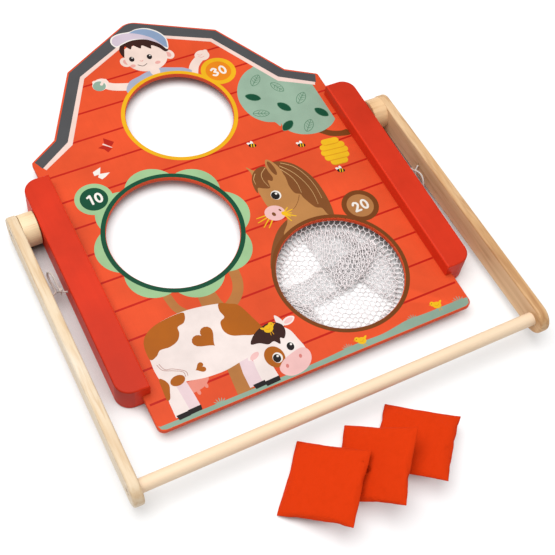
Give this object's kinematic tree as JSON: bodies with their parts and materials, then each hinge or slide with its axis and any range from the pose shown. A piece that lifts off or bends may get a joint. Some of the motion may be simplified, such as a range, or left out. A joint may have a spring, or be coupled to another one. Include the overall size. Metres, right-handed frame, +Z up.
{
  "type": "bean bag target board",
  "caption": "Barn-shaped bean bag target board with scoring holes, a net pocket, side rails, a folding wooden stand and square bean bags.",
  "frame": {"origin": "middle of the whole footprint, on the surface that the rails stand on", "axes": "+X to the right across the board, +Y up the board towards the roof's peak, +Z up, out of the printed face"},
  "size_m": [0.4836, 0.7127, 0.0543],
  "materials": {
    "painted_board": "printed satin paint on plywood",
    "painted_rail": "satin paint",
    "bare_wood": "sanded, clear satin",
    "steel": "zinc plated",
    "brass": "turned",
    "nylon": "natural nylon",
    "net_cord": "knotted net",
    "tape": "woven tape",
    "cord": "braided cotton",
    "bag_cloth": "plain weave",
    "beans": "loose pellets"
  },
  "bodies": {
    "board": {"barn_panel": "painted_board", "rail_left": "painted_rail", "rail_right": "painted_rail", "rail_screws": "steel", "pivot_bolts": "steel", "pivot_inserts": "brass", "pivot_washers": "nylon", "net_bag": "net_cord", "net_hem": "tape", "net_staples": "steel", "tie_cord_left": "cord", "tie_cord_right": "cord", "tie_knot_left": "cord", "tie_knot_right": "cord"},
    "stand": {"arm_left": "bare_wood", "arm_right": "bare_wood", "boss_left": "bare_wood", "boss_right": "bare_wood", "crossbar": "bare_wood", "crossbar_screws": "steel"},
    "bag_rear": {"bean_bag_rear": "bag_cloth", "bean_fill_rear": "beans"},
    "bag_middle": {"bean_bag_middle": "bag_cloth", "bean_fill_middle": "beans"},
    "bag_front": {"bean_bag_front": "bag_cloth", "bean_fill_front": "beans"}
  },
  "joints": [
    {"name": "stand_fold", "type": "hinge", "parent": "board", "child": "stand", "pos_m": [0, 0.1025, 0.0195], "axis": [1, 0, 0], "range_deg": [0, 46]},
    {"name": "bag_rear_lift", "type": "slide", "parent": "board", "child": "bag_rear", "axis": [0, 0, 1], "range_m": [0, 0.15]},
    {"name": "bag_middle_lift", "type": "slide", "parent": "bag_rear", "child": "bag_middle", "axis": [0, 0, 1], "range_m": [0, 0.15]},
    {"name": "bag_front_lift", "type": "slide", "parent": "bag_middle", "child": "bag_front", "axis": [0, 0, 1], "range_m": [0, 0.15]}
  ]
}
